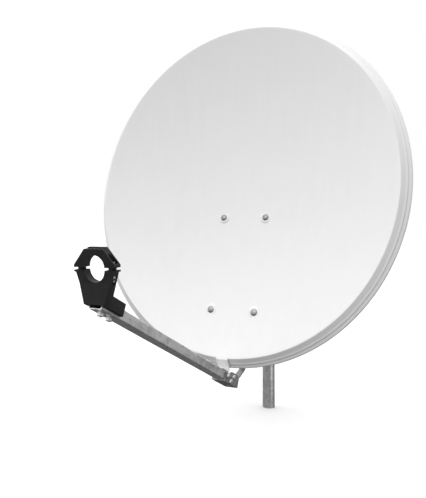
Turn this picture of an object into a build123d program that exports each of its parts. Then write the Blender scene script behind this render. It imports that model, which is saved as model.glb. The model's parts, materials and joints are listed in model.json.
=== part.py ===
"""Offset satellite dish on a short mast.

Frame: +Z up along the mast, origin at the centre of the mast's lower end, and the
dish faces -Y. The mast carries a clamp that turns about it, the clamp carries the
reflector on an elevation pivot, and the reflector carries the feed arm with the
two-part clamp for the neck of the low-noise block.
"""
import math
import os

from build123d import *

os.makedirs("parts", exist_ok=True)

# ---------------------------------------------------------------- driving dimensions
# Reflector: an offset paraboloid, so its flat rim is an ellipse.
half_width = 375.0          # semi-axis of the reflecting face across the dish
half_height = 400.0         # semi-axis of the reflecting face up the dish
focal_length = 485.0
sheet = 1.2                 # thickness of the pressed sheet
face_tilt = 10.4            # the rim plane leans back from vertical by this many degrees
rim_flare = 20.5            # how far the rim spreads beyond the face
rim_depth = 26.0            # how far the rim turns back

# Where the dish stands over the mast's foot.
mast_setback = 212.0        # mast axis behind the centre of the rim plane
centre_height = 574.0       # centre of the rim plane over the mast's foot

# Mast
mast_radius = 16.0
mast_wall = 2.0
mast_height = 505.0
mast_grip = 345.0           # length at the foot that a stand or bracket may grip

# Reflector bolts: four M6 carriage bolts in the lower half of the face
bolt_half_span = 55.0
bolt_row_upper = -64.0      # height on the face, from its centre
bolt_row_lower = -292.0
m6 = 3.0
m8 = 4.0
bolt_clearance = 0.4        # radial, in plain clearance holes
running_fit = 0.05          # radial, where a part turns on a bolt
face_gap = 0.3              # between faces of pieces that only touch

# Rear frame
plate = 3.0                 # thickness of the zinc-plated brackets
frame_half_width = 72.0
frame_margin = 20.0         # plate beyond the bolt rows
foot_height = 11.0
cheek_inside = 34.3         # inner face of the frame's cheeks, from the middle

# Elevation pivot and its clamping slot, in the mast's frame
pivot_y = -62.0
pivot_z = 440.0
slot_radius = 80.0
lock_angle = 25.0           # lock bolt, forward of straight down from the pivot
tilt_up = 20.0              # travel of the elevation joint, degrees
tilt_down = 14.0

# Mast clamp
bracket_half_width = 34.0
bracket_web_y = -29.0       # face of the web toward the mast
u_bolt_heights = (388.0, 444.0)
u_bolt_radius = 20.5        # to the centre line of the rod

# Feed arm: a square-cut rectangular tube
arm_width = 26.0
arm_height = 20.0
arm_wall = 1.6
arm_length = 514.5
arm_pitch = 14.36           # rises toward the front, against the face's normal
arm_end_y = 11.5            # centre of its rear end, behind the rim plane
arm_end_z = -439.5          # and below the centre of the face

# Clamp for the low-noise block
neck_radius = 20.0          # the block's neck is 40 mm across
clamp_y = -502.2            # centre of the bore's front edge
clamp_z = -260.9
clamp_rise = 15.9           # the bore's axis climbs toward the face by this many degrees
clamp_depth = 16.0
clamp_lift = 3.5            # the cap stands this far open
screw_offset = 30.0        # clamp screws, from the middle of the bore


# ---------------------------------------------------------------- frames
def tilted(origin, angle):
    """A frame with x across, z leaning back by the angle and y pointing to the rear."""
    lean = math.radians(angle)
    return Plane(origin=origin, x_dir=(1, 0, 0), z_dir=(0, math.sin(lean), math.cos(lean)))


def within(frame, plane):
    """The plane as seen from inside the frame."""
    return Plane(frame.location * plane.location)


def at(plane, x, y, z=0.0):
    """A copy of the plane whose origin is moved to a point in its own coordinates."""
    return Plane(origin=plane.from_local_coords((x, y, z)), x_dir=plane.x_dir, z_dir=plane.z_dir)


dish = tilted((0, -mast_setback, centre_height), face_tilt)
dish_side = within(dish, Plane.YZ)
row_side = Plane.YZ

offset_angle = math.acos(half_width / half_height)
bottom_reach = 2 * focal_length * math.tan(offset_angle) - half_width
bottom_rise = bottom_reach**2 / (4 * focal_length)
boresight = (-math.cos(offset_angle), math.sin(offset_angle))
across = (math.sin(offset_angle), math.cos(offset_angle))


def from_parabola(along, radial):
    """Point of the dish's middle plane (rear, up) for boresight coordinates."""
    step_a = along - bottom_rise
    step_r = radial - bottom_reach
    rear = step_a * boresight[0] + step_r * across[0]
    up = -half_height + step_a * boresight[1] + step_r * across[1]
    return rear, up


def face_depth(x, z):
    """Depth of the reflecting face behind the rim plane at a point of that plane."""
    depth = 0.0
    for _ in range(30):
        along = bottom_rise + depth * boresight[0] + (z + half_height) * boresight[1]
        radial = bottom_reach + depth * across[0] + (z + half_height) * across[1]
        error = along - (x * x + radial * radial) / (4 * focal_length)
        slope = boresight[0] - 2 * radial * across[0] / (4 * focal_length)
        depth -= error / slope
    return depth


# The paraboloid's axis through its vertex, in the dish's frame.
vertex = from_parabola(0, 0)
parabola_axes = within(
    dish,
    Plane(origin=(0, *vertex), x_dir=(0, *across), z_dir=(1, 0, 0)),
)

# The rear frame lies along the chord through the two bolt rows.
upper_depth = face_depth(bolt_half_span, bolt_row_upper) + sheet
lower_depth = face_depth(bolt_half_span, bolt_row_lower) + sheet
row_spacing = math.hypot(bolt_row_upper - bolt_row_lower, upper_depth - lower_depth)
chord_lean = math.degrees(math.atan2(upper_depth - lower_depth, bolt_row_upper - bolt_row_lower))
chord_middle = dish.from_local_coords(
    (0, (upper_depth + lower_depth) / 2, (bolt_row_upper + bolt_row_lower) / 2)
)
frame_plane = tilted(chord_middle, face_tilt + chord_lean)
frame_face = within(frame_plane, Plane.XZ)      # normal points forward, to the reflector
bolt_spots = [(sx * bolt_half_span, sz * row_spacing / 2) for sx in (-1, 1) for sz in (-1, 1)]

# Feed arm: z runs forward along it, y is its upper side.
arm_rise = math.radians(arm_pitch)
arm_origin = dish.from_local_coords((0, arm_end_y, arm_end_z))
arm_ahead = dish.from_local_coords(
    (0, arm_end_y - math.cos(arm_rise), arm_end_z + math.sin(arm_rise))
) - arm_origin
arm = Plane(origin=arm_origin, x_dir=(1, 0, 0), z_dir=arm_ahead)
arm_top = within(arm, Plane.XZ)

# Clamp: z points out of the bore's front edge, y is up the clamp.
bore_slope = math.radians(clamp_rise)
clamp_origin = dish.from_local_coords((0, clamp_y, clamp_z))
clamp_ahead = dish.from_local_coords(
    (0, clamp_y - math.cos(bore_slope), clamp_z - math.sin(bore_slope))
) - clamp_origin
clamp = Plane(origin=clamp_origin, x_dir=(1, 0, 0), z_dir=clamp_ahead)


# ---------------------------------------------------------------- shared small parts
def hex_prism(plane, size, height, bore):
    """A nut standing on the plane, or a bolt's head where the bore is zero."""
    with BuildPart() as nut:
        with BuildSketch(plane):
            RegularPolygon(radius=size / 2, side_count=6, major_radius=False)
            if bore:
                Circle(bore, mode=Mode.SUBTRACT)
        extrude(amount=height)
        with BuildSketch(plane.offset(height)):
            Circle(size / 2)
        extrude(amount=-height, taper=-nut_chamfer, mode=Mode.INTERSECT)
    return nut.part


def ring(plane, radius, bore, height):
    """A plain washer standing on the plane."""
    with BuildPart() as washer:
        with BuildSketch(plane):
            Circle(radius)
            Circle(bore, mode=Mode.SUBTRACT)
        extrude(amount=height)
    return washer.part


def carriage_bolt(plane, shank, length, head_radius, head_height):
    """Domed head below the plane, square neck and shank above it."""
    crown = (head_radius**2 + head_height**2) / (2 * head_height)
    with BuildPart() as bolt:
        with BuildSketch(within(plane, Plane.XZ)):
            with BuildLine():
                Line((0, 0), (head_radius, 0))
                RadiusArc((head_radius, 0), (0, -head_height), crown)
                Line((0, -head_height), (0, 0))
            make_face()
        revolve(axis=Axis(plane.origin, plane.z_dir))
        with BuildSketch(plane):
            Rectangle(2 * shank, 2 * shank)
        extrude(amount=neck_height)
        with BuildSketch(plane):
            Circle(shank)
        extrude(amount=length)
    return bolt.part


nut_chamfer = 60.0          # degrees from the axis, on a nut's outer corners
neck_height = 1.6
m6_nut = (10.0, 5.0)        # across flats, height
m8_nut = (13.0, 6.5)
m6_washer = (6.0, 1.2)      # radius, thickness
m8_washer = (8.5, 1.6)
thread_slack = 0.05         # nuts and washers clear their bolts by this much
wide_dome = (8.0, 3.2)      # radius and height of the domes on the reflector's face
small_dome = (6.5, 2.8)
m8_dome = (9.0, 3.6)
square_hole = 3.3           # half width of the square holes under M6 domes
square_hole_m8 = 4.2


# ---------------------------------------------------------------- reflector
pad_radius = 9.5            # flat pressed pad round each bolt
pad_proud = 1.3             # the pad stands this far off the curved sheet in front
pad_rear = 1.4              # and this far behind
trim_depth = 150.0          # deep enough to reach through the whole shell
fold_radius = 1.3           # rolled edge between the face and the rim
rim_start = 0.8             # the rim leaves the face this far behind its edge
rim_bend = 1.6
face_bolt_length = 20.0

trim_plane = within(
    dish,
    Plane(
        origin=(0, *from_parabola(0, bottom_reach + half_width)),
        x_dir=(1, 0, 0),
        z_dir=(0, *boresight),
    ),
)
rim_plane = within(dish, Plane.XZ)
rim_section = within(dish, Plane(origin=(half_width, 0, 0), x_dir=(1, 0, 0), z_dir=(0, 0, 1)))
profile_end = bottom_reach + 2 * half_width + rim_flare
profile_rise = profile_end**2 / (4 * focal_length)
rim_line = [(0, rim_start), (8, 11), (12.3, 12.3), (13, 17), (19.4, 20), (rim_flare - 0.6, rim_depth)]

with BuildPart() as reflector:
    with BuildSketch(parabola_axes):
        with BuildLine():
            Bezier((0, 0), (profile_end / 2, 0), (profile_end, profile_rise))
            Line((profile_end, profile_rise), (profile_end, profile_rise - sheet))
            Bezier((profile_end, profile_rise - sheet), (profile_end / 2, -sheet), (0, -sheet))
            Line((0, -sheet), (0, 0))
        make_face()
    revolve(axis=Axis(parabola_axes.origin, parabola_axes.y_dir))
    with BuildSketch(trim_plane):
        Circle(half_width)
    extrude(amount=2 * trim_depth, both=True, mode=Mode.INTERSECT)
    with BuildLine(rim_plane):
        EllipticalCenterArc((0, 0), half_width, half_height, start_angle=0, arc_size=360)
    with BuildSketch(rim_section):
        with BuildLine():
            rim_profile = FilletPolyline(*rim_line, radius=rim_bend)
            offset(rim_profile, amount=sheet / 2, side=Side.BOTH)
        make_face()
        with Locations((0, rim_start)):
            Circle(fold_radius)
    sweep()
    with BuildSketch(frame_face.offset(pad_proud + sheet)):
        with Locations(*bolt_spots):
            Circle(pad_radius)
    extrude(amount=-(pad_proud + sheet + pad_rear))
    with BuildSketch(frame_face):
        with Locations(*bolt_spots):
            Rectangle(2 * square_hole, 2 * square_hole)
    extrude(amount=foot_height, both=True, mode=Mode.SUBTRACT)
reflector.part.label = "reflector"
export_step(reflector.part, "parts/reflector.step")

# Carriage bolts hold the rear frame to the face, with their domes on the pads.
dome_seat = frame_face.offset(pad_proud + sheet)
foot_floor = plate          # the foot's tip is as thick as the plate it is pressed from
nut_seat = frame_face.offset(-(pad_rear + foot_floor))
bolts, nuts, washers = [], [], []
for across_x, up_z in bolt_spots:
    seat = at(dome_seat, across_x, up_z)
    rearward = Plane(origin=seat.origin, x_dir=seat.x_dir, z_dir=-seat.z_dir)
    bolts.append(carriage_bolt(rearward, m6, face_bolt_length, *wide_dome))
    seat = at(nut_seat, across_x, up_z)
    rearward = Plane(origin=seat.origin, x_dir=seat.x_dir, z_dir=-seat.z_dir)
    washers.append(ring(rearward, m6_washer[0], m6 + thread_slack, m6_washer[1]))
    nuts.append(hex_prism(rearward.offset(m6_washer[1]), *m6_nut, m6 + thread_slack))

with BuildPart() as reflector_bolts:
    add(bolts)
reflector_bolts.part.label = "reflector_bolts"
export_step(reflector_bolts.part, "parts/reflector_bolts.step")
with BuildPart() as reflector_washers:
    add(washers)
reflector_washers.part.label = "reflector_washers"
export_step(reflector_washers.part, "parts/reflector_washers.step")
with BuildPart() as reflector_nuts:
    add(nuts)
reflector_nuts.part.label = "reflector_nuts"
export_step(reflector_nuts.part, "parts/reflector_nuts.step")


# ---------------------------------------------------------------- rear frame
stay_bolt_spots = [(0, -76.0), (0, -104.0)]
foot_tip = 8.6              # radius of a pressed foot where it meets the reflector
foot_root = 14.0            # and where it leaves the plate
window_height = 120.0       # long hole between the cheeks
window_width = 36.0
window_lift = 12.0
pivot_boss = 17.0           # radius of the cheeks about the pivot
slot_boss = 15.0            # and about the ends of the slot
frame_half_height = row_spacing / 2 + frame_margin
plate_front = frame_face.offset(-foot_height)
foot_taper = math.degrees(math.atan2(foot_root - foot_tip, foot_height - pad_rear))
slot_half_width = m8 + bolt_clearance
slot_margin = 2.5           # degrees beyond the joint's travel at each end of the slot
lock_polar = -90 - lock_angle
lock_y = pivot_y + slot_radius * math.cos(math.radians(lock_polar))
lock_z = pivot_z + slot_radius * math.sin(math.radians(lock_polar))
cheek_top = frame_plane.from_local_coords((0, foot_height + plate / 2, row_spacing / 2 - 6))
cheek_foot = frame_plane.from_local_coords((0, foot_height + plate / 2, -row_spacing / 2 - 4))

slot_start = lock_polar - tilt_down - slot_margin
slot_sweep = tilt_up + tilt_down + 2 * slot_margin
with BuildLine() as slot_arc:
    CenterArc((pivot_y, pivot_z), slot_radius, slot_start, slot_sweep)

with BuildPart() as rear_frame:
    with BuildSketch(plate_front):
        RectangleRounded(2 * frame_half_width, 2 * frame_half_height, foot_root)
        with Locations((0, window_lift)):
            SlotOverall(window_height, window_width, rotation=90, mode=Mode.SUBTRACT)
    extrude(amount=-plate)
    with BuildSketch(plate_front):
        with Locations(*bolt_spots):
            Circle(foot_root)
    extrude(amount=foot_height - pad_rear, taper=foot_taper)
    with BuildSketch(plate_front.offset(-plate)):
        with Locations(*bolt_spots):
            Circle(foot_root - plate / 2)
    extrude(amount=foot_height - pad_rear, taper=foot_taper, mode=Mode.SUBTRACT)
    for side in (-1, 1):
        cheek_plane = row_side.offset(side * (cheek_inside + plate / 2))
        with BuildSketch(cheek_plane):
            with Locations((pivot_y, pivot_z)):
                Circle(pivot_boss)
            with Locations((pivot_y, pivot_z)):
                with PolarLocations(slot_radius, 2, start_angle=lock_polar - tilt_down,
                                    angular_range=tilt_up + tilt_down, endpoint=True):
                    Circle(slot_boss)
            with Locations((cheek_top.Y, cheek_top.Z), (cheek_foot.Y, cheek_foot.Z)):
                Circle(plate / 2)
            make_hull()
        extrude(amount=plate / 2, both=True)
    with BuildSketch(row_side):
        with Locations((pivot_y, pivot_z)):
            Circle(m8 + running_fit)
        SlotArc(slot_arc.edge(), 2 * slot_half_width)
    extrude(amount=frame_half_width, both=True, mode=Mode.SUBTRACT)
    with BuildSketch(frame_face):
        with Locations(*bolt_spots):
            Circle(m6 + bolt_clearance)
        with Locations(*stay_bolt_spots):
            Rectangle(2 * square_hole, 2 * square_hole)
    extrude(amount=-2 * foot_height, mode=Mode.SUBTRACT)
rear_frame.part.label = "rear_frame"
export_step(rear_frame.part, "parts/rear_frame.step")


# ---------------------------------------------------------------- mast and its cap
groove_depth = 0.4          # a scored ring marks the end of the grip length
groove_width = 1.6
cap_overhang = 1.4
cap_thickness = 4.0
cap_edge = 2.5
cap_plug = 16.0             # how far the cap's skirt reaches into the tube
cap_plug_wall = 2.0

with BuildPart() as mast_tube:
    with BuildSketch():
        Circle(mast_radius)
        Circle(mast_radius - mast_wall, mode=Mode.SUBTRACT)
    extrude(amount=mast_height)
    with BuildSketch(Plane.XY.offset(mast_grip)):
        Circle(mast_radius)
        Circle(mast_radius - groove_depth, mode=Mode.SUBTRACT)
    extrude(amount=groove_width, mode=Mode.SUBTRACT)
mast_tube.part.label = "mast_tube"
export_step(mast_tube.part, "parts/mast_tube.step")

with BuildPart() as mast_cap:
    with BuildSketch(Plane.XY.offset(mast_height)):
        Circle(mast_radius + cap_overhang)
    extrude(amount=cap_thickness)
    fillet(mast_cap.edges().group_by(Axis.Z)[-1], cap_edge)
    with BuildSketch(Plane.XY.offset(mast_height)):
        Circle(mast_radius - mast_wall)
        Circle(mast_radius - mast_wall - cap_plug_wall, mode=Mode.SUBTRACT)
    extrude(amount=-cap_plug)
mast_cap.part.label = "mast_cap"
export_step(mast_cap.part, "parts/mast_cap.step")


# ---------------------------------------------------------------- mast clamp
web_low = 352.0
web_high = 478.0
web_rear = bracket_web_y - plate
bracket_boss = 15.0         # radius of the bracket's sides about the pivot
lock_boss = 14.0            # and about the lock bolt
web_corner = 1.5
leg_play = 5.0              # the legs' slots are this much longer than they are high

with BuildPart() as mast_bracket:
    with BuildSketch(Plane.XZ.offset(-bracket_web_y)):
        with Locations((0, (web_low + web_high) / 2)):
            RectangleRounded(2 * bracket_half_width, web_high - web_low, web_corner)
    extrude(amount=plate)
    for side in (-1, 1):
        with BuildSketch(row_side.offset(side * (bracket_half_width - plate / 2))):
            with Locations((pivot_y, pivot_z)):
                Circle(bracket_boss)
            with Locations((lock_y, lock_z)):
                Circle(lock_boss)
            with Locations((bracket_web_y - plate / 2, web_low + plate / 2),
                           (bracket_web_y - plate / 2, web_high - plate / 2)):
                Circle(plate / 2)
            make_hull()
        extrude(amount=plate / 2, both=True)
    with BuildSketch(row_side):
        with Locations((pivot_y, pivot_z)):
            Circle(m8 + running_fit)
        with Locations((lock_y, lock_z)):
            Rectangle(2 * square_hole_m8, 2 * square_hole_m8)
    extrude(amount=frame_half_width, both=True, mode=Mode.SUBTRACT)
    with BuildSketch(Plane.XZ.offset(-bracket_web_y)):
        for height in u_bolt_heights:
            with Locations((-u_bolt_radius, height), (u_bolt_radius, height)):
                SlotOverall(2 * m8 + leg_play, 2 * (m8 + bolt_clearance))
    extrude(amount=3 * plate, both=True, mode=Mode.SUBTRACT)
mast_bracket.part.label = "mast_bracket"
export_step(mast_bracket.part, "parts/mast_bracket.step")

saddle_height = 18.0
saddle_reach = 30.0         # half width of a saddle
tooth_width = 2.2
saddle_outline = [(-saddle_reach, bracket_web_y), (saddle_reach, bracket_web_y),
                  (saddle_reach, -14), (19, -14), (14, -6), (-14, -6), (-19, -14),
                  (-saddle_reach, -14)]
with BuildPart() as mast_saddles:
    for height in u_bolt_heights:
        with BuildSketch(Plane.XY.offset(height - saddle_height / 2)):
            Polygon(*saddle_outline, align=None)
            Circle(mast_radius + face_gap, mode=Mode.SUBTRACT)
            with PolarLocations(mast_radius + face_gap, 8, start_angle=215, angular_range=110,
                                endpoint=True):
                Rectangle(tooth_width, tooth_width, rotation=45, mode=Mode.SUBTRACT)
        extrude(amount=saddle_height)
        with BuildSketch(Plane.XZ.offset(-bracket_web_y)):
            with Locations((-u_bolt_radius, height), (u_bolt_radius, height)):
                Circle(m8 + bolt_clearance)
        extrude(amount=-saddle_reach, mode=Mode.SUBTRACT)
mast_saddles.part.label = "mast_saddles"
export_step(mast_saddles.part, "parts/mast_saddles.step")

leg_end = -52.0
with BuildPart() as u_bolts:
    for height in u_bolt_heights:
        level = Plane.XY.offset(height)
        with BuildLine(level):
            Line((-u_bolt_radius, leg_end), (-u_bolt_radius, 0))
            CenterArc((0, 0), u_bolt_radius, 180, -180)
            Line((u_bolt_radius, 0), (u_bolt_radius, leg_end))
        with BuildSketch(Plane(origin=(-u_bolt_radius, leg_end, height), z_dir=(0, 1, 0))):
            Circle(m8)
        sweep()
u_bolts.part.label = "u_bolts"
export_step(u_bolts.part, "parts/u_bolts.step")

nuts, washers = [], []
for height in u_bolt_heights:
    for leg_x in (-u_bolt_radius, u_bolt_radius):
        seat = Plane(origin=(leg_x, web_rear, height), x_dir=(1, 0, 0), z_dir=(0, -1, 0))
        washers.append(ring(seat, m8_washer[0], m8 + thread_slack, m8_washer[1]))
        nuts.append(hex_prism(seat.offset(m8_washer[1]), *m8_nut, m8 + thread_slack))
with BuildPart() as u_bolt_washers:
    add(washers)
u_bolt_washers.part.label = "u_bolt_washers"
export_step(u_bolt_washers.part, "parts/u_bolt_washers.step")
with BuildPart() as u_bolt_nuts:
    add(nuts)
u_bolt_nuts.part.label = "u_bolt_nuts"
export_step(u_bolt_nuts.part, "parts/u_bolt_nuts.step")


# ---------------------------------------------------------------- elevation hardware
washer_face = cheek_inside + plate + face_gap
m8_head_height = 5.3
pivot_tail = 12.0           # thread beyond the far washer
lock_bolt_length = 21.0
lock_washer_radius = 10.0
pivot_left = Plane(origin=(-washer_face, pivot_y, pivot_z), z_dir=(-1, 0, 0))
pivot_right = Plane(origin=(washer_face, pivot_y, pivot_z), z_dir=(1, 0, 0))

with BuildPart() as pivot_bolt:
    add(hex_prism(pivot_left.offset(m8_washer[1]), m8_nut[0], m8_head_height, 0))
    with BuildSketch(pivot_left.offset(m8_washer[1])):
        Circle(m8)
    extrude(amount=-(2 * washer_face + pivot_tail))
pivot_bolt.part.label = "pivot_bolt"
export_step(pivot_bolt.part, "parts/pivot_bolt.step")

lock_bolt_solids = []
lock_washer_solids = []
lock_nut_solids = []
for side in (-1, 1):
    inside = Plane(
        origin=(side * (bracket_half_width - plate), lock_y, lock_z), z_dir=(side, 0, 0)
    )
    outside = Plane(origin=(side * washer_face, lock_y, lock_z), z_dir=(side, 0, 0))
    lock_bolt_solids.append(carriage_bolt(inside, m8, lock_bolt_length, *m8_dome))
    lock_washer_solids.append(ring(outside, lock_washer_radius, m8 + thread_slack, m8_washer[1]))
    lock_nut_solids.append(
        hex_prism(outside.offset(m8_washer[1]), *m8_nut, m8 + thread_slack)
    )

with BuildPart() as lock_bolts:
    add(lock_bolt_solids)
lock_bolts.part.label = "lock_bolts"
export_step(lock_bolts.part, "parts/lock_bolts.step")
with BuildPart() as elevation_washers:
    add(lock_washer_solids)
    add(ring(pivot_left, m8_washer[0], m8 + thread_slack, m8_washer[1]))
    add(ring(pivot_right, m8_washer[0], m8 + thread_slack, m8_washer[1]))
elevation_washers.part.label = "elevation_washers"
export_step(elevation_washers.part, "parts/elevation_washers.step")
with BuildPart() as elevation_nuts:
    add(lock_nut_solids)
    add(hex_prism(pivot_right.offset(m8_washer[1]), *m8_nut, m8 + thread_slack))
elevation_nuts.part.label = "elevation_nuts"
export_step(elevation_nuts.part, "parts/elevation_nuts.step")


# ---------------------------------------------------------------- feed arm and its bracket
arm_side = within(arm, Plane.YZ)        # sketch x is up the arm's side, y runs forward
arm_bolt_spots = [(1.7, 9.8), (4.7, -20.0), (-7.0, -7.5)]
holder_bolt_spots = (471.0, 496.5)      # distances along the arm
lug_screw_along = 24.0
lug_screw_radius = 1.9
arm_corner = 2.6
bore_corner = 1.2
plug_cap = 2.0              # thickness of the plug outside the tube
plug_reach = 5.0
plug_wall = 2.0

with BuildPart() as feed_arm:
    with BuildSketch(arm):
        RectangleRounded(arm_width, arm_height, arm_corner)
        RectangleRounded(arm_width - 2 * arm_wall, arm_height - 2 * arm_wall, bore_corner,
                         mode=Mode.SUBTRACT)
    extrude(amount=arm_length)
    with BuildSketch(arm_side):
        with Locations(arm_bolt_spots[0]):
            Circle(m6 + bolt_clearance)
    extrude(amount=arm_width, both=True, mode=Mode.SUBTRACT)
    with BuildSketch(arm_top):
        with Locations(*[(0, along) for along in holder_bolt_spots]):
            Circle(m6 + bolt_clearance)
    extrude(amount=arm_height, both=True, mode=Mode.SUBTRACT)
    with BuildSketch(arm_top):
        with Locations((0, lug_screw_along)):
            Circle(lug_screw_radius + bolt_clearance)
    extrude(amount=-arm_height, mode=Mode.SUBTRACT)
feed_arm.part.label = "feed_arm"
export_step(feed_arm.part, "parts/feed_arm.step")

plug_width = arm_width - 2 * arm_wall - 0.2
plug_height = arm_height - 2 * arm_wall - 0.2
with BuildPart() as arm_end_plug:
    with BuildSketch(arm):
        RectangleRounded(arm_width, arm_height, arm_corner)
    extrude(amount=-plug_cap)
    with BuildSketch(arm):
        RectangleRounded(plug_width, plug_height, bore_corner)
        Rectangle(plug_width - 2 * plug_wall, plug_height - 2 * plug_wall, mode=Mode.SUBTRACT)
    extrude(amount=plug_reach)
arm_end_plug.part.label = "arm_end_plug"
export_step(arm_end_plug.part, "parts/arm_end_plug.step")

cheek = 2.5
bracket_inside = arm_width / 2 + 0.2
bracket_floor = -arm_height / 2 - 0.3
bracket_front = 22.0        # ends of the bracket along the arm
bracket_rear = -54.0
cheek_outline = [(bracket_floor - plate, bracket_front), (5, bracket_front), (7, 18), (7, 4),
                 (14, -10), (14, -44), (6, bracket_rear), (bracket_floor - plate, bracket_rear)]
stay_bolt_along = -38.0
arm_bolt_head = (10.0, 4.0)             # across flats, height
arm_bolt_tail = 9.0
with BuildPart() as arm_bracket:
    with BuildSketch(arm_side):
        Polygon(*cheek_outline, align=None)
    extrude(amount=bracket_inside + cheek, both=True)
    with BuildSketch(arm_side):
        with Locations((bracket_floor + arm_height, 0)):
            Rectangle(2 * arm_height, 8 * arm_height)
    extrude(amount=bracket_inside, both=True, mode=Mode.SUBTRACT)
    with BuildSketch(arm_side):
        with Locations(*arm_bolt_spots):
            Circle(m6 + bolt_clearance)
    extrude(amount=arm_width, both=True, mode=Mode.SUBTRACT)
    with BuildSketch(arm_top):
        with Locations((0, stay_bolt_along)):
            Rectangle(2 * square_hole, 2 * square_hole)
    extrude(amount=arm_height, both=True, mode=Mode.SUBTRACT)
arm_bracket.part.label = "arm_bracket"
export_step(arm_bracket.part, "parts/arm_bracket.step")

bolt_seat = bracket_inside + cheek
with BuildPart() as arm_bolts:
    for up, along in arm_bolt_spots:
        head = Plane(origin=arm.from_local_coords((bolt_seat, up, along)), z_dir=(1, 0, 0))
        add(hex_prism(head, *arm_bolt_head, 0))
        with BuildSketch(head):
            Circle(m6)
        extrude(amount=-(2 * bolt_seat + arm_bolt_tail))
arm_bolts.part.label = "arm_bolts"
export_step(arm_bolts.part, "parts/arm_bolts.step")
with BuildPart() as arm_nuts:
    for up, along in arm_bolt_spots:
        seat = Plane(origin=arm.from_local_coords((-bolt_seat, up, along)), z_dir=(-1, 0, 0))
        add(hex_prism(seat, *m6_nut, m6 + thread_slack))
arm_nuts.part.label = "arm_nuts"
export_step(arm_nuts.part, "parts/arm_nuts.step")


# ---------------------------------------------------------------- stay from frame to arm
def on_dish_side(point):
    """Rear and up distances of a point, seen from the side in the dish's frame."""
    local = dish.to_local_coords(point)
    return local.Y, local.Z


stay_thickness = 4.0
stay_width = 14.0
stay_bend = 18.0
stay_bolt_length = plate + stay_thickness + 8
stay_rest = foot_height + plate + stay_thickness / 2
stay_floor = bracket_floor + stay_thickness / 2
stay_route = [
    on_dish_side(frame_plane.from_local_coords((0, stay_rest, -62))),
    on_dish_side(frame_plane.from_local_coords((0, stay_rest, -132))),
    (120, -376),
    (122, -424),
    on_dish_side(arm.from_local_coords((0, stay_floor, -50))),
    on_dish_side(arm.from_local_coords((0, stay_floor, -14))),
]
with BuildPart() as arm_stay:
    with BuildSketch(dish_side):
        with BuildLine():
            route = FilletPolyline(*stay_route, radius=stay_bend)
            offset(route, amount=stay_thickness / 2, side=Side.BOTH)
        make_face()
    extrude(amount=stay_width / 2, both=True)
    with BuildSketch(frame_face):
        with Locations(*stay_bolt_spots):
            Circle(m6 + bolt_clearance)
    extrude(amount=-3 * foot_height, mode=Mode.SUBTRACT)
    with BuildSketch(arm_top):
        with Locations((0, stay_bolt_along)):
            Circle(m6 + bolt_clearance)
    extrude(amount=arm_height, both=True, mode=Mode.SUBTRACT)
arm_stay.part.label = "arm_stay"
export_step(arm_stay.part, "parts/arm_stay.step")

stay_bolt_solids = []
stay_nut_solids = []
for across_x, up_z in stay_bolt_spots:
    seat = at(frame_face, across_x, up_z, -foot_height)
    head = Plane(origin=seat.origin, x_dir=seat.x_dir, z_dir=-seat.z_dir)
    stay_bolt_solids.append(carriage_bolt(head, m6, stay_bolt_length, *small_dome))
    stay_nut_solids.append(hex_prism(head.offset(plate + stay_thickness), *m6_nut,
                                     m6 + thread_slack))
head = Plane(
    origin=arm.from_local_coords((0, bracket_floor - plate, stay_bolt_along)),
    x_dir=(1, 0, 0),
    z_dir=arm.y_dir,
)
stay_bolt_solids.append(carriage_bolt(head, m6, stay_bolt_length, *small_dome))
stay_nut_solids.append(hex_prism(head.offset(plate + stay_thickness), *m6_nut,
                                 m6 + thread_slack))
with BuildPart() as stay_bolts:
    add(stay_bolt_solids)
stay_bolts.part.label = "stay_bolts"
export_step(stay_bolts.part, "parts/stay_bolts.step")
with BuildPart() as stay_nuts:
    add(stay_nut_solids)
stay_nuts.part.label = "stay_nuts"
export_step(stay_nuts.part, "parts/stay_nuts.step")


# ---------------------------------------------------------------- lug at the foot of the rim
lug_sheet = 2.0
lug_half_width = 14.0
lug_bend = 2.2
lug_rest = arm_height / 2 + 0.1 + lug_sheet / 2


def arm_to_dish(up, along):
    """Rear and up distances, in the dish's frame, of a point given along the arm."""
    return on_dish_side(arm.from_local_coords((0, up, along)))


lug_route = [
    arm_to_dish(lug_rest, 38),
    arm_to_dish(lug_rest, -1),
    (9.0, -half_height - 16),
    (-2.6, -half_height - 2),
    (-1.7, -half_height + 1.2),
]
with BuildPart() as rim_lug:
    with BuildSketch(dish_side):
        with BuildLine():
            route = FilletPolyline(*lug_route, radius=lug_bend)
            offset(route, amount=lug_sheet / 2, side=Side.BOTH)
        make_face()
    extrude(amount=lug_half_width, both=True)
    with BuildSketch(arm_top):
        with Locations((0, lug_screw_along)):
            Circle(lug_screw_radius + 2 * bolt_clearance)
    extrude(amount=-arm_height, mode=Mode.SUBTRACT)
rim_lug.part.label = "rim_lug"
export_step(rim_lug.part, "parts/rim_lug.step")

with BuildPart() as lug_screw:
    screw_seat = Plane(
        origin=arm.from_local_coords((0, lug_rest + lug_sheet / 2, lug_screw_along)),
        x_dir=(1, 0, 0),
        z_dir=-arm.y_dir,
    )
    add(carriage_bolt(screw_seat, lug_screw_radius, 9, 4.2, 2.4))
lug_screw.part.label = "lug_screw"
export_step(lug_screw.part, "parts/lug_screw.step")


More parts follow.
